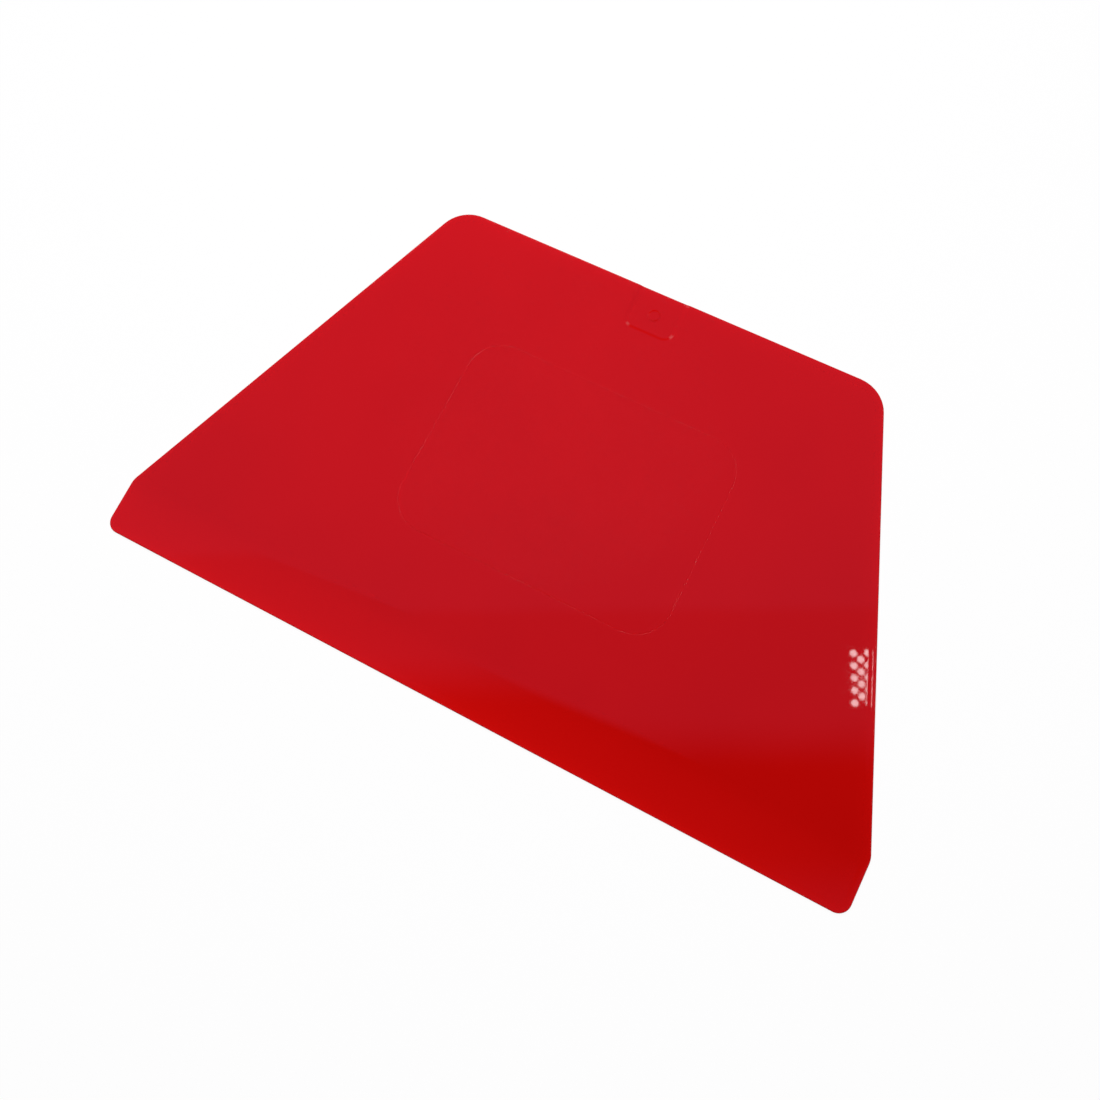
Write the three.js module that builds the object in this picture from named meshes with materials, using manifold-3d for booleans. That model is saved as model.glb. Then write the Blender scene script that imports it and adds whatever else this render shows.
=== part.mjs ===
// Dough scraper: one moulded plastic plate with a tapered working edge, lying flat on its underside.
// Millimetres, +Z up. The origin is on the underside, below the middle of the plate's bounding box.
// +X runs along the working edge, and +Y points from the working edge to the grip edge.

import * as THREE from "three";
import { mergeVertices } from "three/addons/utils/BufferGeometryUtils.js";
import Module from "manifold-3d";

// Plan of the plate
const WORKING_EDGE_LENGTH = 216;
const PLATE_DEPTH = 128; // from the working edge to the grip edge
const GRIP_EDGE_LENGTH = 130; // between the grip corners before they are rounded
const SQUARE_END_HEIGHT = 15; // how far the ends stand square to the working edge
const GRIP_CORNER_RADIUS = 10;
const SHOULDER_RADIUS = 6; // where a square end turns into a slanted side
const WORKING_CORNER_RADIUS = 3.4;

// Section of the plate
const PLATE_THICKNESS = 1.8;
const RIM_RADIUS = 0.3; // around both faces
const TAPER_WIDTH = 14.8; // how far in from the working edge the taper's plane leaves the upper face
const TAPER_CREASE_RADIUS = 60; // between the upper face and the taper's plane
const WORKING_EDGE_THICKNESS = 1.2;

// Line that the mould's insert leaves on the upper face
const INSERT_LENGTH = 80;
const INSERT_DEPTH = 58;
const INSERT_CORNER_RADIUS = 10;
const INSERT_FROM_GRIP_EDGE = 32.5;
const INSERT_LINE_WIDTH = 0.5;
const INSERT_LINE_DEPTH = 0.1;

// Shallow pocket at the grip edge, where the plastic entered the mould, and the nub left in it
const GATE_POCKET_LENGTH = 15.8;
const GATE_POCKET_REACH = 13.2; // from the grip edge
const GATE_POCKET_CORNER_RADIUS = 3.4;
const GATE_POCKET_DEPTH = 0.2;
const GATE_POCKET_WALL = 0.9; // how far in from its brim the pocket's wall is rounded
const GATE_NUB_FROM_GRIP_EDGE = 7;
const GATE_NUB_RADIUS = 2;
const GATE_NUB_TOP_RADIUS = 1.2;
const GATE_NUB_HEIGHT = 0.15; // above the pocket's floor
const GATE_NUB_ROOT = 0.4; // how far the nub's solid reaches into the plate

// Marks of the ejector pins in the underside
const EJECTOR_MARK_RADIUS = 4;
const EJECTOR_MARK_DEPTH = 0.1;
const EJECTOR_FROM_WORKING_EDGE = 34;
const EJECTOR_FROM_GRIP_EDGE = 26;
const EJECTOR_FROM_SIDES = 24; // from the slanted sides, measured along X

const ARC_SEGMENTS = 6; // each corner's arc is drawn with twice as many chords
const ROUND_STEPS = 6; // steps in a rounded rim
const DISC_SEGMENTS = 32;
const CUT_OVERRUN = 1; // how far a cut runs out past the face that it opens
const MERGE_DISTANCE = 1e-5;

const PLASTIC_RED = 0xc0161e;
const PLASTIC_ROUGHNESS = 0.2;

const workingEdgeY = -PLATE_DEPTH / 2;
const gripEdgeY = PLATE_DEPTH / 2;
const pocketFloorZ = PLATE_THICKNESS - GATE_POCKET_DEPTH;

const wasm = await Module();
wasm.setup();

function solidOf(geometry) {
  const bare = geometry.clone();
  bare.deleteAttribute("normal");
  bare.deleteAttribute("uv");
  const merged = mergeVertices(bare, MERGE_DISTANCE);
  const mesh = new wasm.Mesh({
    numProp: 3,
    vertProperties: new Float32Array(merged.attributes.position.array),
    triVerts: new Uint32Array(merged.index.array),
  });
  return new wasm.Manifold(mesh);
}

function geometryOf(solid) {
  const mesh = solid.getMesh();
  const geometry = new THREE.BufferGeometry();
  geometry.setAttribute("position", new THREE.BufferAttribute(mesh.vertProperties, 3));
  geometry.setIndex(new THREE.BufferAttribute(mesh.triVerts, 1));
  geometry.computeVertexNormals();
  return geometry;
}

// Draws a convex outline, anticlockwise, with each corner rounded to its own radius.
function roundOutline(path, corners) {
  corners.forEach(({ at, radius }, i) => {
    const before = corners[(i + corners.length - 1) % corners.length].at;
    const after = corners[(i + 1) % corners.length].at;
    const back = before.clone().sub(at).normalize();
    const on = after.clone().sub(at).normalize();
    const halfAngle = Math.acos(back.dot(on)) / 2;
    const toCentre = back.clone().add(on).setLength(radius / Math.sin(halfAngle));
    const centre = at.clone().add(toCentre);
    const toTangent = radius / Math.tan(halfAngle);
    const start = back.multiplyScalar(toTangent).add(at).sub(centre);
    const end = on.multiplyScalar(toTangent).add(at).sub(centre);
    path.absarc(centre.x, centre.y, radius, start.angle(), end.angle(), false);
  });
  path.closePath();
  return path;
}

const corner = (x, y, radius) => ({ at: new THREE.Vector2(x, y), radius });

function plateOutline() {
  const endX = WORKING_EDGE_LENGTH / 2;
  const gripX = GRIP_EDGE_LENGTH / 2;
  const shoulderY = workingEdgeY + SQUARE_END_HEIGHT;
  return roundOutline(new THREE.Shape(), [
    corner(-endX, workingEdgeY, WORKING_CORNER_RADIUS),
    corner(endX, workingEdgeY, WORKING_CORNER_RADIUS),
    corner(endX, shoulderY, SHOULDER_RADIUS),
    corner(gripX, gripEdgeY, GRIP_CORNER_RADIUS),
    corner(-gripX, gripEdgeY, GRIP_CORNER_RADIUS),
    corner(-endX, shoulderY, SHOULDER_RADIUS),
  ]);
}

// The insert line's edge, moved in by an amount that is negative outside the line.
function insertOutline(path, inset) {
  const halfX = INSERT_LENGTH / 2 - inset;
  const top = gripEdgeY - INSERT_FROM_GRIP_EDGE - inset;
  const bottom = gripEdgeY - INSERT_FROM_GRIP_EDGE - INSERT_DEPTH + inset;
  const radius = INSERT_CORNER_RADIUS - inset;
  return roundOutline(path, [
    corner(-halfX, bottom, radius),
    corner(halfX, bottom, radius),
    corner(halfX, top, radius),
    corner(-halfX, top, radius),
  ]);
}

// The plate before anything is cut into it, with the rims of both faces rounded.
function roundedSlab() {
  const slab = new THREE.ExtrudeGeometry(plateOutline(), {
    depth: PLATE_THICKNESS - 2 * RIM_RADIUS,
    curveSegments: ARC_SEGMENTS,
    bevelEnabled: true,
    bevelSize: RIM_RADIUS,
    bevelOffset: -RIM_RADIUS,
    bevelThickness: RIM_RADIUS,
    bevelSegments: ROUND_STEPS,
  });
  return solidOf(slab.translate(0, 0, RIM_RADIUS));
}

// What lies above the taper: a plane that falls to the working edge, with a rounded crease at its top.
function taperCut() {
  const fallAngle = Math.atan2(PLATE_THICKNESS - WORKING_EDGE_THICKNESS, TAPER_WIDTH);
  const creaseY = workingEdgeY + TAPER_WIDTH;
  const startY = creaseY + TAPER_CREASE_RADIUS * Math.tan(fallAngle / 2);
  const centreZ = PLATE_THICKNESS - TAPER_CREASE_RADIUS;
  const frontY = workingEdgeY - CUT_OVERRUN;
  const frontZ = WORKING_EDGE_THICKNESS - CUT_OVERRUN * Math.tan(fallAngle);
  const aboveZ = PLATE_THICKNESS + CUT_OVERRUN;
  const section = new THREE.Shape();
  section.absarc(startY, centreZ, TAPER_CREASE_RADIUS, Math.PI / 2, Math.PI / 2 + fallAngle, false);
  section.lineTo(frontY, frontZ);
  section.lineTo(frontY, aboveZ);
  section.lineTo(startY, aboveZ);
  section.closePath();
  const length = WORKING_EDGE_LENGTH + 2 * CUT_OVERRUN;
  const cut = new THREE.ExtrudeGeometry(section, {
    depth: length,
    curveSegments: ARC_SEGMENTS,
    bevelEnabled: false,
  });
  const alongX = new THREE.Matrix4().makeBasis(
    new THREE.Vector3(0, 1, 0),
    new THREE.Vector3(0, 0, 1),
    new THREE.Vector3(1, 0, 0),
  );
  return solidOf(cut.applyMatrix4(alongX).translate(-length / 2, 0, 0));
}

function insertLineCut() {
  const line = insertOutline(new THREE.Shape(), -INSERT_LINE_WIDTH / 2);
  line.holes.push(insertOutline(new THREE.Path(), INSERT_LINE_WIDTH / 2));
  const cut = new THREE.ExtrudeGeometry(line, {
    depth: INSERT_LINE_DEPTH + CUT_OVERRUN,
    curveSegments: ARC_SEGMENTS,
    bevelEnabled: false,
  });
  return solidOf(cut.translate(0, 0, PLATE_THICKNESS - INSERT_LINE_DEPTH));
}

// The pocket narrows from its brim to its floor, and runs out through the grip edge.
function gatePocketCut() {
  const halfX = GATE_POCKET_LENGTH / 2;
  const lowY = gripEdgeY - GATE_POCKET_REACH;
  const outY = gripEdgeY + GATE_POCKET_CORNER_RADIUS + GATE_POCKET_WALL;
  const brim = roundOutline(new THREE.Shape(), [
    corner(-halfX, lowY, GATE_POCKET_CORNER_RADIUS),
    corner(halfX, lowY, GATE_POCKET_CORNER_RADIUS),
    corner(halfX, outY, GATE_POCKET_CORNER_RADIUS),
    corner(-halfX, outY, GATE_POCKET_CORNER_RADIUS),
  ]);
  const cut = new THREE.ExtrudeGeometry(brim, {
    depth: CUT_OVERRUN,
    curveSegments: ARC_SEGMENTS,
    bevelEnabled: true,
    bevelSize: GATE_POCKET_WALL,
    bevelOffset: -GATE_POCKET_WALL,
    bevelThickness: GATE_POCKET_DEPTH,
    bevelSegments: ROUND_STEPS,
  });
  return solidOf(cut.translate(0, 0, PLATE_THICKNESS));
}

// A low cone with a flat top, which stays below the upper face.
function gateNub() {
  const profile = [
    new THREE.Vector2(0, pocketFloorZ - GATE_NUB_ROOT),
    new THREE.Vector2(GATE_NUB_RADIUS, pocketFloorZ - GATE_NUB_ROOT),
    new THREE.Vector2(GATE_NUB_RADIUS, pocketFloorZ),
    new THREE.Vector2(GATE_NUB_TOP_RADIUS, pocketFloorZ + GATE_NUB_HEIGHT),
    new THREE.Vector2(0, pocketFloorZ + GATE_NUB_HEIGHT),
  ];
  const nub = new THREE.LatheGeometry(profile, DISC_SEGMENTS).rotateX(Math.PI / 2);
  return solidOf(nub.translate(0, gripEdgeY - GATE_NUB_FROM_GRIP_EDGE, 0));
}

// Half of the plate's width along X at a height on the slanted sides.
function halfWidthAt(y) {
  const shoulderY = workingEdgeY + SQUARE_END_HEIGHT;
  const share = (y - shoulderY) / (gripEdgeY - shoulderY);
  return THREE.MathUtils.lerp(WORKING_EDGE_LENGTH / 2, GRIP_EDGE_LENGTH / 2, share);
}

function ejectorMarkCut(x, y) {
  const height = EJECTOR_MARK_DEPTH + CUT_OVERRUN;
  const mark = new THREE.CylinderGeometry(EJECTOR_MARK_RADIUS, EJECTOR_MARK_RADIUS, height, DISC_SEGMENTS);
  mark.rotateX(Math.PI / 2);
  return solidOf(mark.translate(x, y, EJECTOR_MARK_DEPTH - height / 2));
}

// Two rows of three marks, each row as wide as the plate allows at its own place.
function ejectorMarkCuts() {
  const rows = [workingEdgeY + EJECTOR_FROM_WORKING_EDGE, gripEdgeY - EJECTOR_FROM_GRIP_EDGE];
  return rows.flatMap((y) => {
    const outerX = halfWidthAt(y) - EJECTOR_FROM_SIDES;
    return [-outerX, 0, outerX].map((x) => ejectorMarkCut(x, y));
  });
}

function scraperPlate() {
  const cuts = [taperCut(), insertLineCut(), gatePocketCut(), ...ejectorMarkCuts()];
  const cutPlate = cuts.reduce((plate, cut) => plate.subtract(cut), roundedSlab());
  const solid = cutPlate.add(gateNub());
  const plastic = new THREE.MeshStandardMaterial({
    color: PLASTIC_RED,
    roughness: PLASTIC_ROUGHNESS,
    metalness: 0,
  });
  const mesh = new THREE.Mesh(geometryOf(solid), plastic);
  mesh.name = "scraper_plate";
  return mesh;
}

const doughScraper = new THREE.Group();
doughScraper.add(scraperPlate());

export default doughScraper;
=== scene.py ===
"""A dough scraper: one glossy red moulded plate, lying on a white table and seen from above."""

import math

import bpy
import numpy as np
from mathutils import Matrix, Vector
from mathutils.geometry import delaunay_2d_cdt


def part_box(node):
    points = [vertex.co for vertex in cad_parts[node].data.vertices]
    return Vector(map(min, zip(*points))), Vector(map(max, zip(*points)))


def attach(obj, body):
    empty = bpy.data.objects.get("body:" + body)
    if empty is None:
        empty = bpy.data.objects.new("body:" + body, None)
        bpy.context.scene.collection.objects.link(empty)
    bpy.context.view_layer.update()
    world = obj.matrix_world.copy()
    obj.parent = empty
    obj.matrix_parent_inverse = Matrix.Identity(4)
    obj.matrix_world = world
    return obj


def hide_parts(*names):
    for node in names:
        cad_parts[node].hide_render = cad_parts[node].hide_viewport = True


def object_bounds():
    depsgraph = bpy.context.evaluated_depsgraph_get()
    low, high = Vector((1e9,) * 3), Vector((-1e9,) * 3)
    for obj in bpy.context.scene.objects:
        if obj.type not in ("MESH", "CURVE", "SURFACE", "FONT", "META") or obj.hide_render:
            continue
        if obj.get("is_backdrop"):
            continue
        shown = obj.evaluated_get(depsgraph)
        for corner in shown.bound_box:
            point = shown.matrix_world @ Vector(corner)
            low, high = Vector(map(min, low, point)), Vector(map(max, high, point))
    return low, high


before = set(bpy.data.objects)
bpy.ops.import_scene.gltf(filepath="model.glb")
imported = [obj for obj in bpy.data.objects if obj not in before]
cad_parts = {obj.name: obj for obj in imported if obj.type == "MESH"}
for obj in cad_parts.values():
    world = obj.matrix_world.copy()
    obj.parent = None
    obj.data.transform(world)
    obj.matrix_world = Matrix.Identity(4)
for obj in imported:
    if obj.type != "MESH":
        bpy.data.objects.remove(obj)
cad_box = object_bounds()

# Lengths are in millimetres, as in the solid, and become metres where an object is made.
MM = 0.001
NODE = "scraper_plate"
box_low, box_high = (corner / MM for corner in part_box(NODE))

# Plan of the plate
HALF_LENGTH = box_high.x
WORKING_EDGE_Y = box_low.y
GRIP_EDGE_Y = box_high.y
GRIP_EDGE_LENGTH = 130
SQUARE_END_HEIGHT = 15
GRIP_CORNER_RADIUS = 10
SHOULDER_RADIUS = 6
WORKING_CORNER_RADIUS = 3.4

# Section of the plate
PLATE_THICKNESS = 1.8
RIM_RADIUS = 0.3
TAPER_WIDTH = 14.8
TAPER_CREASE_RADIUS = 60
WORKING_EDGE_THICKNESS = 1.2
BEAD_HEIGHT = 0.025  # the upper face sinks this little inside its rim as the plastic cools
BEAD_WIDTH = 2.3  # from the plate's side
BEAD_CREST = 0.95  # from the plate's side

# Line that the mould's insert leaves on the upper face
INSERT_LENGTH = 80
INSERT_DEPTH = 58
INSERT_CORNER_RADIUS = 10
INSERT_FROM_GRIP_EDGE = 32.5
INSERT_LINE_HALF_WIDTH = 0.15
INSERT_LINE_DEPTH = 0.02

# Pocket at the grip edge, and the nub left in it
GATE_POCKET_LENGTH = 16.4
GATE_POCKET_REACH = 13.6
GATE_POCKET_CORNER_RADIUS = 3.8
GATE_POCKET_DEPTH = 0.2
GATE_POCKET_WALL = 2
GATE_NUB_FROM_GRIP_EDGE = 7
GATE_NUB_RADIUS = 2
GATE_NUB_TOP_RADIUS = 1.2
GATE_NUB_HEIGHT = 0.14

# Marks of the ejector pins in the underside
EJECTOR_MARK_RADIUS = 4
EJECTOR_MARK_DEPTH = 0.1
EJECTOR_MARK_WALL = 0.2
EJECTOR_FROM_WORKING_EDGE = 34
EJECTOR_FROM_GRIP_EDGE = 26
EJECTOR_FROM_SIDES = 24

# How finely the plate is meshed
SIDE_SPACING = 2.4
LEAST_GAP = 1 / 8  # between points along a side, as a share of their spacing
POCKET_SPACING = 1.2
CIRCLE_SPACING = 0.6
LEAST_CIRCLE_STEPS = 12
UNDERSIDE_SPACING = 6
ARC_STEP = math.radians(7.5)
LEAST_ARC_STEPS = 2
RIM_STEPS = 6
BEAD_STEPS = 8
WALL_STEPS = 8
LINE_STEPS = 3  # on either side of the insert line's middle
NUB_STEPS = 4
MARK_STEPS = 4
SPOT_CLEARANCE = 0.5  # least distance of a filling point from a line, as a share of the spacing
SLOPE_STEP = 0.01  # over which a height function's slope is measured
MERGE_DISTANCE = 0.001

# Red plastic
PLASTIC_RED = (0.53, 0.0028, 0.0019, 1)
DEEP_RED = (0.51, 0.0025, 0.0017, 1)
# painted glow colour: the light let in at thin edges, painted into the plastic's colour
PAINTED_GLOW_RED = (0.66, 0.0042, 0.0036, 1)
PLASTIC_IOR = 1.49
GLOSS = 0.02
PAINTED_RIM_GLOW = 0.45  # share of the painted glow colour at the rim
PAINTED_GLOW_REACH = 1.5  # how far in from the rim the painted glow of the light that gets in at the edge still shows
PAINTED_TAPER_GLOW = 0.55  # share of the painted glow colour that the thin working edge adds
RIM_REACH = 0.4  # how far in from the side its duller finish reaches
RIM_ROUGHNESS = 0.35
LINE_ROUGHNESS = 0.15  # in the insert line
INSERT_ROUGHNESS = 0.01  # inside it
SMUDGE_ROUGHNESS = 0.01
SCRATCH_ROUGHNESS = 0.12

# Faint unevenness of the plastic, from noise whose scales are per metre
CLOUD_SCALE = 22
CLOUD_SPAN = (0.3, 0.7)
SMUDGE_SCALE = 35
SMUDGE_SPAN = (0.5, 0.8)
WAVE_SCALE = 45
WAVE_HEIGHT = 0.012
SCRATCH_STRETCH = (14, 1100, 1)
SCRATCH_SPAN = (0.70, 0.76)
SCRATCH_PATCH_SCALE = 30
SCRATCH_PATCH_SPAN = (0.52, 0.66)
SCRATCH_DEPTH = 0.0015
SCRATCH_SETS = ((20, 3), (-38, 7))  # degrees that each is turned, and its shift in the noise

# Camera
CAMERA_AT = (38.91, -54.97, 224.14)
CAMERA_TARGET = (4.37, -15.45, 1.05)
CAMERA_TURN = 27.13  # degrees that the top of the picture is turned from +Y
CAMERA_LENS = 28.38
SENSOR_WIDTH = 36
CAMERA_CLIP = 10

# Lights
KEY_AT = (-120, 180, 500)
KEY_SIZE = 300
KEY_WATTS = 3.2
FAR_LAMPS = {  # place and watts of small lamps that the pocket and the insert line mirror
    "far_end": ((-544, 470, 739), 0.044),
    "far_left": ((-366, 586, 759), 0.044),
    "far_middle": ((-66, 713, 748), 0.036),
}
FAR_LAMP_SIZE = 120
BULB_ROW_AT = (315.1, 191.6, 1001.8)  # middle of a lamp of many bulbs in rows
BULB_PITCH = Vector((6.77, -15.52, 0))
BULB_ROW_STEP = Vector((8.3, 4.7, 0))
BULB_COUNTS = (5, 4, 5)
BULB_SIZE = 9.5
BULB_WATTS = 0.0026

# Room: a direction's height is its Z, and its lean is how far it goes to the far side for its height
FAR_SIDE = Vector((-0.468, 0.913, 0))
CEILING_NEAR = 0.12
CEILING_NEAR_LEAN = (-0.27, -0.18)
CEILING_MID = 0.226
CEILING_MID_LEAN = (-0.03, 0.04)
CEILING_BRIGHT = 0.323
CEILING_BRIGHT_LEAN = (0.15, 0.17)
CEILING_TINT = (0.9, 0.46, 1.0, 1)
WALL_SHADE = 0.05  # share of the ceiling's light that is left on the walls below it
WALL_TOP = (0.65, 0.8)
WHITE_TOP = (0.1, 0.3)  # heights between which the white room beside the table gives way to the walls
LEAST_HEIGHT = 0.1  # that a lean is worked out for
ROOM_WHITE = (1, 1, 1, 1)
HORIZON = 0.25  # strength of the room beside the table, which the camera and reflections see as white
BELOW_TABLE = -0.02  # height below which the room is white to all light

# Table
TABLE_HALF = 3000
TABLE_DROP = 0.05  # below the plate's underside
TABLE_WHITE = (0.9, 0.9, 0.9, 1)
TABLE_LIFT = 0.95  # share of plain white in what the camera sees of the table
TABLE_TOUCH = 0.3  # rays from nearer than this start under the plate, and pass the table


def ease(share):
    """Smooth step from 0 to 1 that is level at both ends."""
    share = np.clip(share, 0, 1)
    return share**3 * (share * (6 * share - 15) + 10)


def depth_inside(x, y, centre, half, radius):
    """How far points lie inside a rounded rectangle, negative outside it."""
    over_x = np.abs(x - centre[0]) - half[0] + radius
    over_y = np.abs(y - centre[1]) - half[1] + radius
    outside = np.hypot(np.maximum(over_x, 0), np.maximum(over_y, 0))
    inside = np.minimum(np.maximum(over_x, over_y), 0)
    return radius - outside - inside


def taper_fall(y):
    """How far the upper face has fallen, over a rounded crease and then on a plane to the working edge."""
    slope = (PLATE_THICKNESS - WORKING_EDGE_THICKNESS) / TAPER_WIDTH
    fall_angle = math.atan(slope)
    past_crease = WORKING_EDGE_Y + TAPER_WIDTH - y
    past_start = past_crease + TAPER_CREASE_RADIUS * math.tan(fall_angle / 2)
    arc_length = TAPER_CREASE_RADIUS * math.sin(fall_angle)
    on_arc = np.clip(past_start, 0, arc_length)
    arc_fall = TAPER_CREASE_RADIUS - np.sqrt(TAPER_CREASE_RADIUS**2 - on_arc**2)
    return np.where(past_start > arc_length, slope * past_crease, arc_fall)


def insert_depth(x, y):
    """How far points lie inside the mould insert's outline."""
    half = (INSERT_LENGTH / 2, INSERT_DEPTH / 2)
    centre = (0, GRIP_EDGE_Y - INSERT_FROM_GRIP_EDGE - half[1])
    return depth_inside(x, y, centre, half, INSERT_CORNER_RADIUS)


def pocket_rise(x, y):
    """Height of the gate pocket and its nub from the upper face, negative below it."""
    half = (GATE_POCKET_LENGTH / 2, GATE_POCKET_REACH)
    inside = depth_inside(x, y, (0, GRIP_EDGE_Y), half, GATE_POCKET_CORNER_RADIUS)
    from_nub = np.hypot(x, y - (GRIP_EDGE_Y - GATE_NUB_FROM_GRIP_EDGE))
    nub = (GATE_NUB_RADIUS - from_nub) / (GATE_NUB_RADIUS - GATE_NUB_TOP_RADIUS)
    return GATE_NUB_HEIGHT * ease(nub) - GATE_POCKET_DEPTH * ease(inside / GATE_POCKET_WALL)


def upper_height(x, y):
    """Height of the upper face, without the bead along its rim."""
    line = np.clip(1 - (insert_depth(x, y) / INSERT_LINE_HALF_WIDTH) ** 2, 0, 1) ** 2
    face = PLATE_THICKNESS - BEAD_HEIGHT - taper_fall(y)
    return face - INSERT_LINE_DEPTH * line + pocket_rise(x, y)


def half_width_at(y):
    """Half of the plate's width along X at a height on the slanted sides."""
    shoulder_y = WORKING_EDGE_Y + SQUARE_END_HEIGHT
    share = (y - shoulder_y) / (GRIP_EDGE_Y - shoulder_y)
    return HALF_LENGTH + share * (GRIP_EDGE_LENGTH / 2 - HALF_LENGTH)


def ejector_places():
    """Two rows of three marks, each row as wide as the plate allows at its own place."""
    for y in (WORKING_EDGE_Y + EJECTOR_FROM_WORKING_EDGE, GRIP_EDGE_Y - EJECTOR_FROM_GRIP_EDGE):
        outer = half_width_at(y) - EJECTOR_FROM_SIDES
        for x in (-outer, 0, outer):
            yield x, y


def under_height(x, y):
    """Height of the underside, which is level apart from the ejector marks."""
    height = np.zeros_like(x)
    for mark_x, mark_y in ejector_places():
        inside = EJECTOR_MARK_RADIUS - np.hypot(x - mark_x, y - mark_y)
        height = height + EJECTOR_MARK_DEPTH * ease(inside / EJECTOR_MARK_WALL)
    return height


def sampled(height, x, y):
    """Points on a height function and its upward normals."""
    slope_x = (height(x + SLOPE_STEP, y) - height(x - SLOPE_STEP, y)) / (2 * SLOPE_STEP)
    slope_y = (height(x, y + SLOPE_STEP) - height(x, y - SLOPE_STEP)) / (2 * SLOPE_STEP)
    points = np.stack([x, y, height(x, y)], axis=1)
    return points, np.stack([-slope_x, -slope_y, np.ones_like(x)], axis=1)


def rounded_outline(corners, spacing, stops=()):
    """Points and outward normals along an outline of rounded corners, drawn anticlockwise.

    A straight side gets a point at least every spacing, and one at each stop that lies on it.
    """
    corner_at = [Vector(corner[:2]) for corner in corners]
    arcs = []
    for i, (_, _, radius) in enumerate(corners):
        back = (corner_at[i - 1] - corner_at[i]).normalized()
        on = (corner_at[(i + 1) % len(corners)] - corner_at[i]).normalized()
        half_angle = back.angle(on) / 2
        centre = corner_at[i] + (back + on).normalized() * radius / math.sin(half_angle)
        turn = math.pi - 2 * half_angle
        start = math.atan2(-back.y, -back.x) - math.pi / 2
        steps = max(LEAST_ARC_STEPS, math.ceil(turn / ARC_STEP))
        angles = [start + turn * step / steps for step in range(steps + 1)]
        directions = [Vector((math.cos(a), math.sin(a))) for a in angles]
        arcs.append([(centre + radius * way, way) for way in directions])
    points = []
    for i, arc in enumerate(arcs):
        points.extend(arc)
        start, normal = arc[-1]
        side = arcs[(i + 1) % len(arcs)][0][0] - start
        count = math.ceil(side.length / spacing)
        offsets = [Vector(stop) - start for stop in stops]
        fixed = [o.dot(side) / side.length_squared for o in offsets if abs(o.dot(normal)) < MERGE_DISTANCE]
        least = LEAST_GAP * spacing / side.length
        spaced = [step / count for step in range(1, count)]
        spaced = [share for share in spaced if all(abs(share - stop) > least for stop in fixed)]
        points.extend((start + share * side, normal) for share in sorted(spaced + fixed))
    return np.array([p for p, _ in points]), np.array([n for _, n in points])


def plate_outline():
    grip = GRIP_EDGE_LENGTH / 2
    shoulder_y = WORKING_EDGE_Y + SQUARE_END_HEIGHT
    corners = [
        (-HALF_LENGTH, WORKING_EDGE_Y, WORKING_CORNER_RADIUS),
        (HALF_LENGTH, WORKING_EDGE_Y, WORKING_CORNER_RADIUS),
        (HALF_LENGTH, shoulder_y, SHOULDER_RADIUS),
        (grip, GRIP_EDGE_Y, GRIP_CORNER_RADIUS),
        (-grip, GRIP_EDGE_Y, GRIP_CORNER_RADIUS),
        (-HALF_LENGTH, shoulder_y, SHOULDER_RADIUS),
    ]
    stops = []
    for inset in wall_insets():
        wall_x = GATE_POCKET_LENGTH / 2 - inset
        stops += [(-wall_x, GRIP_EDGE_Y), (wall_x, GRIP_EDGE_Y)]
    return rounded_outline(corners, SIDE_SPACING, stops)


def wall_insets():
    """Steps across the rounded wall of the gate pocket, with one on the flat at either side."""
    return [GATE_POCKET_WALL * step / WALL_STEPS for step in range(-1, WALL_STEPS + 2)]


def circle(x, y, radius):
    count = max(LEAST_CIRCLE_STEPS, math.ceil(2 * math.pi * radius / CIRCLE_SPACING))
    angles = np.arange(count) * 2 * math.pi / count
    return np.stack([x + radius * np.cos(angles), y + radius * np.sin(angles)], axis=1)


def insert_loops():
    """Rings along the insert line, close together across it, the outermost on the flat beside it."""
    half_x = INSERT_LENGTH / 2
    top = GRIP_EDGE_Y - INSERT_FROM_GRIP_EDGE
    bottom = top - INSERT_DEPTH
    corners = [
        (-half_x, bottom, INSERT_CORNER_RADIUS),
        (half_x, bottom, INSERT_CORNER_RADIUS),
        (half_x, top, INSERT_CORNER_RADIUS),
        (-half_x, top, INSERT_CORNER_RADIUS),
    ]
    outline, outward = rounded_outline(corners, SIDE_SPACING)
    steps = range(-LINE_STEPS - 1, LINE_STEPS + 2)
    return [outline + outward * INSERT_LINE_HALF_WIDTH * step / LINE_STEPS for step in steps]


def pocket_lines():
    """Lines around the gate pocket, from the rim on one side to the rim on the other."""
    half_x = GATE_POCKET_LENGTH / 2
    end_y = GRIP_EDGE_Y - BEAD_WIDTH
    low_y = GRIP_EDGE_Y - GATE_POCKET_REACH
    past_y = GRIP_EDGE_Y + GATE_POCKET_REACH
    corners = [
        (-half_x, low_y, GATE_POCKET_CORNER_RADIUS),
        (half_x, low_y, GATE_POCKET_CORNER_RADIUS),
        (half_x, past_y, GATE_POCKET_CORNER_RADIUS),
        (-half_x, past_y, GATE_POCKET_CORNER_RADIUS),
    ]
    outline, outward = rounded_outline(corners, POCKET_SPACING)
    below = outline[:, 1] < end_y - POCKET_SPACING / 2
    for inset in wall_insets():
        line = (outline - outward * inset)[below]
        ends = np.array([[-half_x + inset, end_y], [half_x - inset, end_y]])
        turned = np.roll(line, -left_wall_start(line), axis=0)
        yield np.concatenate([ends[:1], turned, ends[1:]])


def left_wall_start(line):
    """Where in the list of a pocket line's points its left end is, at the top of the left side."""
    on_left = line[:, 0] < 0
    return int(np.argmax(np.where(on_left, line[:, 1], -np.inf)))


def nub_loops():
    """Rings around the nub, with one on the flat at either side of its wall."""
    y = GRIP_EDGE_Y - GATE_NUB_FROM_GRIP_EDGE
    for step in range(-1, NUB_STEPS + 2):
        share = step / NUB_STEPS
        yield circle(0, y, GATE_NUB_RADIUS + share * (GATE_NUB_TOP_RADIUS - GATE_NUB_RADIUS))


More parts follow.
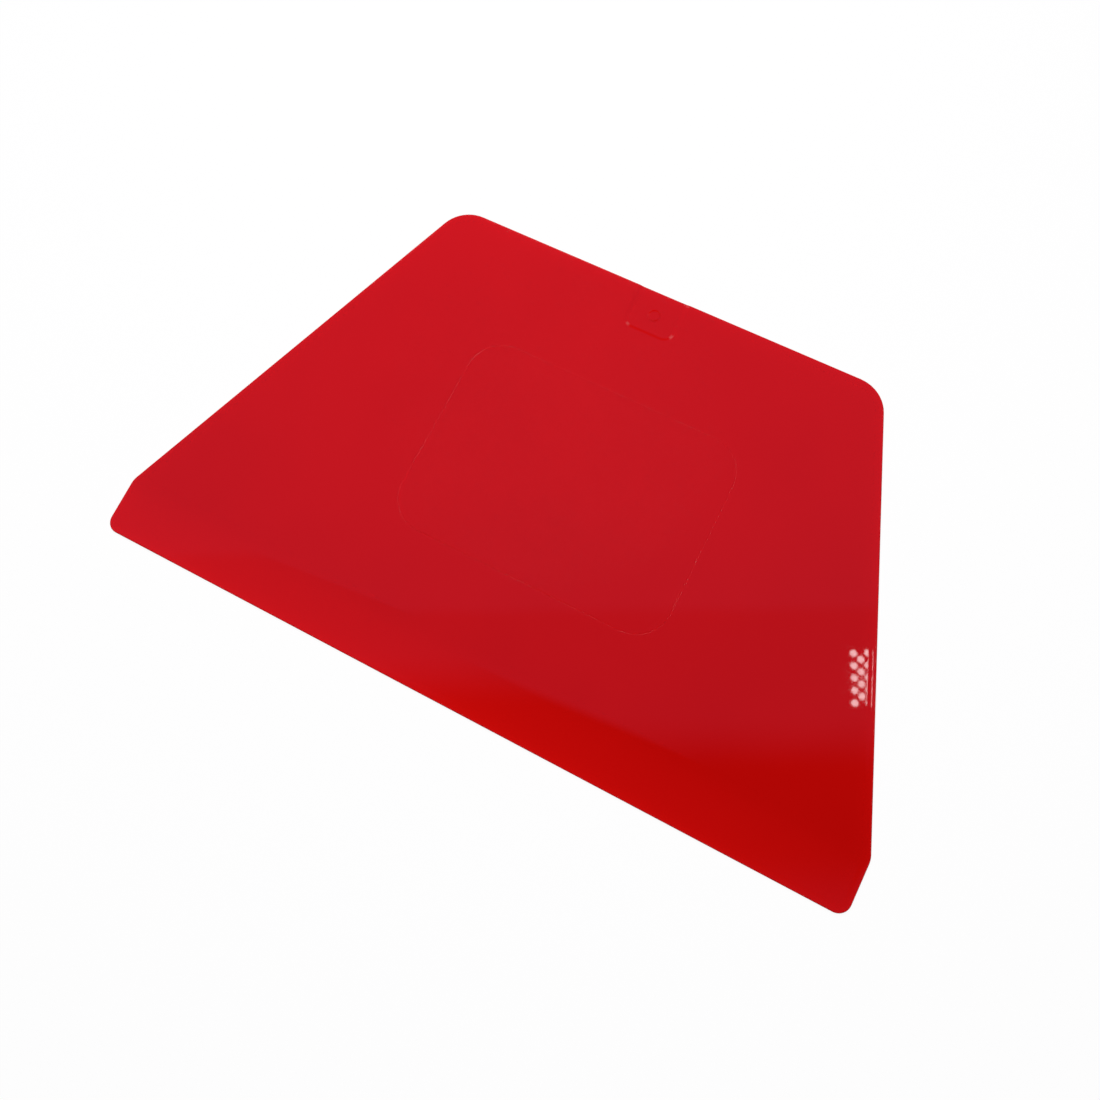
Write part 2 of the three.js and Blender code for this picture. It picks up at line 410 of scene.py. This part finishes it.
def ejector_loops():
    """Rings around the ejector-pin marks, with one on the flat at either side of each wall."""
    for x, y in ejector_places():
        for step in range(-1, MARK_STEPS + 2):
            yield circle(x, y, EJECTOR_MARK_RADIUS - EJECTOR_MARK_WALL * step / MARK_STEPS)


def filling_spots(outline, taken, spacing):
    """Staggered points inside an outline, clear of the points that are taken."""
    low, high = outline.min(axis=0), outline.max(axis=0)
    spots = []
    row_height = spacing * math.sqrt(3) / 2
    for row, y in enumerate(np.arange(low[1], high[1], row_height)):
        x = np.arange(low[0] + (row % 2) * spacing / 2, high[0], spacing)
        spots.append(np.stack([x, np.full_like(x, y)], axis=1))
    spots = np.concatenate(spots)
    after = np.roll(outline, -1, axis=0)
    along = after - outline
    across = spots[:, None, :] - outline[None, :, :]
    inside = (along[:, 0] * across[..., 1] - along[:, 1] * across[..., 0] > 0).all(axis=1)
    spots = spots[inside]
    gaps = np.hypot(*(spots[:, None, :] - taken[None, :, :]).transpose(2, 0, 1)).min(axis=1)
    return spots[gaps > SPOT_CLEARANCE * spacing]


class Shell:
    """Points, normals and faces of the plate as they are gathered."""

    def __init__(self):
        self.points = []
        self.normals = []
        self.faces = []

    def add(self, points, normals):
        first = len(self.points)
        self.points.extend(points)
        self.normals.extend(normals)
        return list(range(first, len(self.points)))

    def band(self, lower, upper):
        """Joins two rings of the same length with quads."""
        for i in range(len(lower)):
            j = (i + 1) % len(lower)
            self.faces.append((lower[i], lower[j], upper[j], upper[i]))

    def fill(self, ring, loops, lines, spacing, height, facing):
        """Fills a ring with triangles on a height function, with edges along the loops and lines."""
        rim = np.array([self.points[i][:2] for i in ring])
        flat = [rim]
        edges = closed_edges(0, len(rim))
        count = len(rim)
        for loop in loops:
            edges += closed_edges(count, len(loop))
            flat.append(loop)
            count += len(loop)
        for line in lines:
            edges += closed_edges(count, len(line))[:-1]
            flat.append(snapped(line, rim))
            count += len(line)
        flat.append(filling_spots(rim, np.concatenate(flat), spacing))
        inputs = [Vector(p) for p in np.concatenate(flat)]
        places, _, triangles, origins, _, _ = delaunay_2d_cdt(inputs, edges, [], 1, MERGE_DISTANCE)
        first_inputs = [min(origin, default=len(ring)) for origin in origins]
        fresh = [i for i, first in enumerate(first_inputs) if first >= len(ring)]
        fresh_x = np.array([places[i].x for i in fresh])
        fresh_y = np.array([places[i].y for i in fresh])
        points, normals = sampled(height, fresh_x, fresh_y)
        index_of = dict(zip(fresh, self.add(points, normals * facing)))
        for i, first in enumerate(first_inputs):
            if first < len(ring):
                index_of[i] = ring[first]
        for a, b, c in triangles:
            turn = (places[b] - places[a]).cross(places[c] - places[a])
            corners = (a, b, c) if turn * facing > 0 else (a, c, b)
            self.faces.append(tuple(index_of[corner] for corner in corners))


def closed_edges(first, count):
    return [(first + i, first + (i + 1) % count) for i in range(count)]


def snapped(points, targets):
    """Points, moved onto the targets that they touch."""
    gaps = np.hypot(*(points[:, None, :] - targets[None, :, :]).transpose(2, 0, 1))
    touching = gaps.min(axis=1) < MERGE_DISTANCE
    return np.where(touching[:, None], targets[gaps.argmin(axis=1)], points)


def bead(inset):
    """Height and inward slope of the bead along the rim."""
    rate = math.pi / 2 / (BEAD_WIDTH - BEAD_CREST)
    reach = rate * (BEAD_WIDTH - inset)
    return BEAD_HEIGHT * math.sin(reach) ** 2, -BEAD_HEIGHT * rate * math.sin(2 * reach)


def bead_share(y):
    """The bead dies out where the plate tapers."""
    return 1 - taper_fall(y) / (PLATE_THICKNESS - WORKING_EDGE_THICKNESS)


def quarter_turns():
    return [math.pi / 2 * step / RIM_STEPS for step in range(RIM_STEPS + 1)]


def lower_rim_rings(shell, outline, outward):
    """Rings from the underside's rim out to the plate's side."""
    sideways = np.pad(outward, ((0, 0), (0, 1)))
    upward = np.array([0, 0, 1])
    for angle in quarter_turns():
        inset = RIM_RADIUS * (1 - math.sin(angle))
        height = RIM_RADIUS * (1 - math.cos(angle))
        points = np.pad(outline - inset * outward, ((0, 0), (0, 1)), constant_values=height)
        yield shell.add(points, math.sin(angle) * sideways - math.cos(angle) * upward)


def upper_rim_rings(shell, outline, outward):
    """Rings from the plate's side over the upper rim and the bead."""
    sideways = np.pad(outward, ((0, 0), (0, 1)))
    for angle in quarter_turns():
        inset = RIM_RADIUS * (1 - math.cos(angle))
        points, normals = sampled(upper_height, *(outline - inset * outward).T)
        points[:, 2] += bead(RIM_RADIUS)[0] * bead_share(points[:, 1])
        points[:, 2] -= RIM_RADIUS * (1 - math.sin(angle))
        yield shell.add(points, math.cos(angle) * sideways + math.sin(angle) * normals)
    for step in range(1, BEAD_STEPS + 1):
        inset = RIM_RADIUS + (BEAD_WIDTH - RIM_RADIUS) * step / BEAD_STEPS
        points, normals = sampled(upper_height, *(outline - inset * outward).T)
        rise, slope = bead(inset)
        share = bead_share(points[:, 1])
        points[:, 2] += rise * share
        yield shell.add(points, normals + slope * share[:, None] * sideways)


def rim_distances(points, outline):
    """How far points lie from the nearest side of an outline."""
    along = np.roll(outline, -1, axis=0) - outline
    offset = points[:, None, :] - outline[None, :, :]
    share = np.clip((offset * along).sum(axis=2) / (along**2).sum(axis=1), 0, 1)
    return np.linalg.norm(offset - share[..., None] * along, axis=2).min(axis=1)


def new_mesh(name, shell):
    """A smooth mesh with the shell's own normals."""
    normals = np.array(shell.normals)
    normals /= np.linalg.norm(normals, axis=1, keepdims=True)
    mesh = bpy.data.meshes.new(name)
    mesh.from_pydata((np.array(shell.points) * MM).tolist(), [], shell.faces)
    mesh.polygons.foreach_set("use_smooth", [True] * len(mesh.polygons))
    mesh.normals_split_custom_set_from_vertices(normals.tolist())
    return mesh


def point_values(mesh, name, values):
    attribute = mesh.attributes.new(name, "FLOAT", "POINT")
    attribute.data.foreach_set("value", values)


def add_painted_glow_and_finish(mesh, points, outline):
    """Shares by which the painted glow in the plastic's colour and the plastic's finish change over the
    plate.
    """
    from_rim = rim_distances(points[:, :2], outline)
    thinned = taper_fall(points[:, 1]) / (PLATE_THICKNESS - WORKING_EDGE_THICKNESS)
    # painted glow: the light let in at the rim and through the thin working edge, painted into the colour
    glow = PAINTED_RIM_GLOW * np.exp(-from_rim / PAINTED_GLOW_REACH) + PAINTED_TAPER_GLOW * np.sqrt(thinned)
    point_values(mesh, "painted_edge_glow", glow)
    point_values(mesh, "rim", np.exp(-(from_rim / RIM_REACH) ** 2))
    across_line = insert_depth(points[:, 0], points[:, 1]) / INSERT_LINE_HALF_WIDTH
    point_values(mesh, "insert", ease(across_line))
    point_values(mesh, "line", np.clip(1 - across_line**2, 0, 1))


def plate_piece():
    outline, outward = plate_outline()
    shell = Shell()
    lower = list(lower_rim_rings(shell, outline, outward))
    upper = list(upper_rim_rings(shell, outline, outward))
    rings = lower + upper
    for below, above in zip(rings, rings[1:]):
        shell.band(below, above)
    upper_loops = [*insert_loops(), *nub_loops()]
    shell.fill(upper[-1], upper_loops, list(pocket_lines()), SIDE_SPACING, upper_height, 1)
    shell.fill(lower[0], list(ejector_loops()), [], UNDERSIDE_SPACING, under_height, -1)
    mesh = new_mesh("red_scraper", shell)
    add_painted_glow_and_finish(mesh, np.array(shell.points), outline)
    piece = bpy.data.objects.new("red_scraper", mesh)
    bpy.context.scene.collection.objects.link(piece)
    return piece


class Nodes:
    """Makes and joins the nodes of one material or world."""

    def __init__(self, tree):
        self.tree = tree
        tree.nodes.clear()

    def add(self, kind, settings=(), **inputs):
        node = self.tree.nodes.new(kind)
        for name, value in dict(settings).items():
            setattr(node, name, value)
        for name, value in inputs.items():
            self.set(node, name.replace("_", " "), value)
        return node

    def set(self, node, name, value):
        socket = node.inputs[name]
        if isinstance(value, bpy.types.NodeSocket):
            self.tree.links.new(value, socket)
        else:
            socket.default_value = value

    def math(self, operation, *values):
        node = self.tree.nodes.new("ShaderNodeMath")
        node.operation = operation
        for i, value in enumerate(values):
            self.set(node, i, value)
        return node.outputs[0]

    def spread(self, value, span, to_span):
        """Maps a value smoothly from one span to another."""
        node = self.add("ShaderNodeMapRange", {"interpolation_type": "SMOOTHSTEP"}, Value=value)
        for name, item in zip(("From Min", "From Max", "To Min", "To Max"), (*span, *to_span)):
            self.set(node, name, item)
        return node.outputs["Result"]

    def attribute(self, name):
        """Values that the mesh carries at its points."""
        return self.add("ShaderNodeAttribute", {"attribute_name": name}).outputs["Fac"]

    def seen(self, rays):
        """1 for what the camera sees, straight, mirrored or through glass, and 0 for other light."""
        straight_or_mirrored = self.math("MAXIMUM", rays["Is Camera Ray"], rays["Is Glossy Ray"])
        return self.math("MAXIMUM", straight_or_mirrored, rays["Is Transmission Ray"])

    def mixed(self, share, first, second):
        """Mixes two colours, whose sockets come after those for numbers and vectors."""
        node = self.add("ShaderNodeMix", {"data_type": "RGBA"}, Factor=share)
        first_socket, second_socket, result_socket = 6, 7, 2
        self.set(node, first_socket, first)
        self.set(node, second_socket, second)
        return node.outputs[result_socket]

    def mixed_shaders(self, share, first, second):
        node = self.tree.nodes.new("ShaderNodeMixShader")
        for i, value in enumerate((share, first.outputs[0], second.outputs[0])):
            self.set(node, i, value)
        return node

    def noise(self, place, scale, detail):
        node = self.add("ShaderNodeTexNoise", Vector=place, Scale=scale, Detail=detail)
        return node.outputs["Fac"]


def scratches(nodes, place, turn, offset):
    """Thin broken lines in one direction: long narrow noise, kept only at its peaks."""
    stretched = nodes.add("ShaderNodeMapping", Vector=place)
    stretched.inputs["Rotation"].default_value = (0, 0, math.radians(turn))
    stretched.inputs["Location"].default_value = (offset, offset, 0)
    stretched.inputs["Scale"].default_value = SCRATCH_STRETCH
    line = nodes.spread(nodes.noise(stretched.outputs[0], scale=1, detail=2), SCRATCH_SPAN, (0, 1))
    patch = nodes.noise(place, SCRATCH_PATCH_SCALE + offset, detail=1)
    return nodes.math("MULTIPLY", line, nodes.spread(patch, SCRATCH_PATCH_SPAN, (0, 1)))


def red_plastic():
    """Glossy plastic, lighter at thin edges by a painted glow, with faint marks of use."""
    material = bpy.data.materials.new("red_plastic")
    material.use_nodes = True
    nodes = Nodes(material.node_tree)
    place = nodes.add("ShaderNodeTexCoord").outputs["Object"]

    clouds = nodes.spread(nodes.noise(place, CLOUD_SCALE, detail=3), CLOUD_SPAN, (0, 1))
    body = nodes.mixed(clouds, PLASTIC_RED, DEEP_RED)
    # painted glow towards a lighter red at the rim and the thin working edge
    colour = nodes.mixed(nodes.attribute("painted_edge_glow"), body, PAINTED_GLOW_RED)

    marks = nodes.math("MAXIMUM", *[scratches(nodes, place, *turned) for turned in SCRATCH_SETS])
    stains = nodes.noise(place, SMUDGE_SCALE, detail=4)
    smudges = nodes.spread(stains, SMUDGE_SPAN, (0, SMUDGE_ROUGHNESS))
    roughness = nodes.math("ADD", GLOSS, smudges)
    duller = [
        (nodes.attribute("insert"), INSERT_ROUGHNESS),
        (marks, SCRATCH_ROUGHNESS),
        (nodes.attribute("rim"), RIM_ROUGHNESS),
        (nodes.attribute("line"), LINE_ROUGHNESS),
    ]
    for share, amount in duller:
        roughness = nodes.math("ADD", roughness, nodes.math("MULTIPLY", share, amount))

    waves = nodes.noise(place, WAVE_SCALE, detail=1)
    waviness = nodes.add("ShaderNodeBump", Height=waves, Distance=WAVE_HEIGHT * MM)
    scored = nodes.add("ShaderNodeBump", {"invert": True}, Height=marks, Distance=SCRATCH_DEPTH * MM)
    nodes.set(scored, "Normal", waviness.outputs[0])

    shader = nodes.add("ShaderNodeBsdfPrincipled", Roughness=roughness, IOR=PLASTIC_IOR)
    nodes.set(shader, "Base Color", colour)
    nodes.set(shader, "Normal", scored.outputs[0])
    nodes.add("ShaderNodeOutputMaterial", Surface=shader.outputs[0])
    return material


def table_white():
    """White table: it keeps soft shadows, and shows the camera and reflections mostly plain white."""
    material = bpy.data.materials.new("table_white")
    material.use_nodes = True
    nodes = Nodes(material.node_tree)
    rays = nodes.add("ShaderNodeLightPath").outputs
    seen = nodes.seen(rays)
    diffuse = nodes.add("ShaderNodeBsdfDiffuse", Color=TABLE_WHITE)
    white = nodes.add("ShaderNodeEmission", Strength=1.0)
    table = nodes.mixed_shaders(nodes.math("MULTIPLY", seen, TABLE_LIFT), diffuse, white)
    clear = nodes.add("ShaderNodeBsdfTransparent")
    behind = nodes.add("ShaderNodeNewGeometry").outputs["Backfacing"]
    under_plate = nodes.math("LESS_THAN", rays["Ray Length"], TABLE_TOUCH * MM)
    from_both_sides = nodes.mixed_shaders(nodes.math("MAXIMUM", behind, under_plate), table, clear)
    nodes.add("ShaderNodeOutputMaterial", Surface=from_both_sides.outputs[0])
    return material


def add_table():
    """A level table, see-through from below so that the underside can be looked at."""
    mesh = bpy.data.meshes.new("table")
    corners = [(-1, -1), (1, -1), (1, 1), (-1, 1)]
    places = [(TABLE_HALF * x * MM, TABLE_HALF * y * MM, -TABLE_DROP * MM) for x, y in corners]
    mesh.from_pydata(places, [], [(0, 1, 2, 3)])
    mesh.materials.append(table_white())
    table = bpy.data.objects.new("table", mesh)
    bpy.context.scene.collection.objects.link(table)
    table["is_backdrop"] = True


def add_lamp(name, at, size, watts, target=(0, 0, 0)):
    """A round area lamp that faces a target."""
    lamp = bpy.data.lights.new(name, "AREA")
    lamp.shape = "DISK"
    lamp.size = size * MM
    lamp.energy = watts
    holder = bpy.data.objects.new(name, lamp)
    holder.location = Vector(at) * MM
    aim = (Vector(target) - Vector(at)) * MM
    holder.rotation_mode = "QUATERNION"
    holder.rotation_quaternion = aim.to_track_quat("-Z", "Y")
    holder.visible_camera = False
    bpy.context.scene.collection.objects.link(holder)
    return holder


def add_lamps():
    key = add_lamp("key", KEY_AT, KEY_SIZE, KEY_WATTS)
    key.visible_glossy = False  # stands for light from all over the ceiling
    for name, (at, watts) in FAR_LAMPS.items():
        add_lamp(name, at, FAR_LAMP_SIZE, watts)
    middle = (len(BULB_COUNTS) - 1) / 2
    for row, count in enumerate(BULB_COUNTS):
        for i in range(count):
            along = BULB_PITCH * (i - (count - 1) / 2)
            at = Vector(BULB_ROW_AT) + BULB_ROW_STEP * (row - middle) + along
            add_lamp(f"bulb_{row}_{i}", at, BULB_SIZE, BULB_WATTS, at - Vector((0, 0, 1)))


def light_world():
    """A white room below and beside the table, then dark walls and a ceiling that is palest far off.

    The camera itself sees the whole room as white.
    """
    world = bpy.data.worlds.new("room")
    world.use_nodes = True
    nodes = Nodes(world.node_tree)
    way = nodes.add("ShaderNodeTexCoord").outputs["Generated"]
    height = nodes.add("ShaderNodeSeparateXYZ", Vector=way).outputs["Z"]
    toward_far = nodes.tree.nodes.new("ShaderNodeVectorMath")
    toward_far.operation = "DOT_PRODUCT"
    nodes.set(toward_far, 0, way)
    nodes.set(toward_far, 1, FAR_SIDE)
    above = nodes.math("MAXIMUM", height, LEAST_HEIGHT)
    lean = nodes.math("DIVIDE", toward_far.outputs["Value"], above)
    rays = nodes.add("ShaderNodeLightPath").outputs
    seen = nodes.seen(rays)
    full_white = nodes.math("MAXIMUM", seen, nodes.math("LESS_THAN", height, BELOW_TABLE))
    white = nodes.math("ADD", HORIZON, nodes.math("MULTIPLY", full_white, 1 - HORIZON))
    mid = nodes.spread(lean, CEILING_MID_LEAN, (0, CEILING_MID))
    bright = nodes.spread(lean, CEILING_BRIGHT_LEAN, (0, CEILING_BRIGHT - CEILING_MID))
    near = nodes.spread(lean, CEILING_NEAR_LEAN, (CEILING_NEAR, 0))
    shade = nodes.spread(height, WALL_TOP, (WALL_SHADE, 1))
    ceiling = nodes.math("ADD", near, nodes.math("ADD", mid, bright))
    ceiling = nodes.math("MULTIPLY", ceiling, shade)
    overhead = nodes.add("ShaderNodeBackground", Color=CEILING_TINT, Strength=ceiling)
    beside = nodes.add("ShaderNodeBackground", Color=ROOM_WHITE, Strength=white)
    low = nodes.spread(height, WHITE_TOP, (1, 0))
    room = nodes.mixed_shaders(nodes.math("MAXIMUM", low, rays["Is Camera Ray"]), overhead, beside)
    nodes.add("ShaderNodeOutputWorld", Surface=room.outputs[0])
    bpy.context.scene.world = world


def add_camera():
    camera = bpy.data.objects.new("camera", bpy.data.cameras.new("camera"))
    camera.data.lens = CAMERA_LENS
    camera.data.sensor_width = SENSOR_WIDTH
    camera.data.clip_start = CAMERA_CLIP * MM
    location = Vector(CAMERA_AT) * MM
    forward = (Vector(CAMERA_TARGET) * MM - location).normalized()
    turn = math.radians(CAMERA_TURN)
    right = forward.cross(Vector((-math.sin(turn), math.cos(turn), 0))).normalized()
    up = right.cross(forward)
    rotation = Matrix((right, up, -forward)).transposed().to_4x4()
    camera.matrix_world = Matrix.Translation(location) @ rotation
    bpy.context.scene.collection.objects.link(camera)
    bpy.context.scene.camera = camera


def write_sizes():
    """The solid's box and the visual model's box, in metres, gathered into a dictionary that nothing
    keeps.
    """
    boxes = {"cad": cad_box, "visual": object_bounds()}
    {name: [list(corner) for corner in box] for name, box in boxes.items()}


scraper = plate_piece()
scraper.data.materials.append(red_plastic())
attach(scraper, "root")
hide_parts(NODE)

add_table()
add_lamps()
light_world()
add_camera()
bpy.context.scene.view_settings.view_transform = "Standard"

write_sizes()
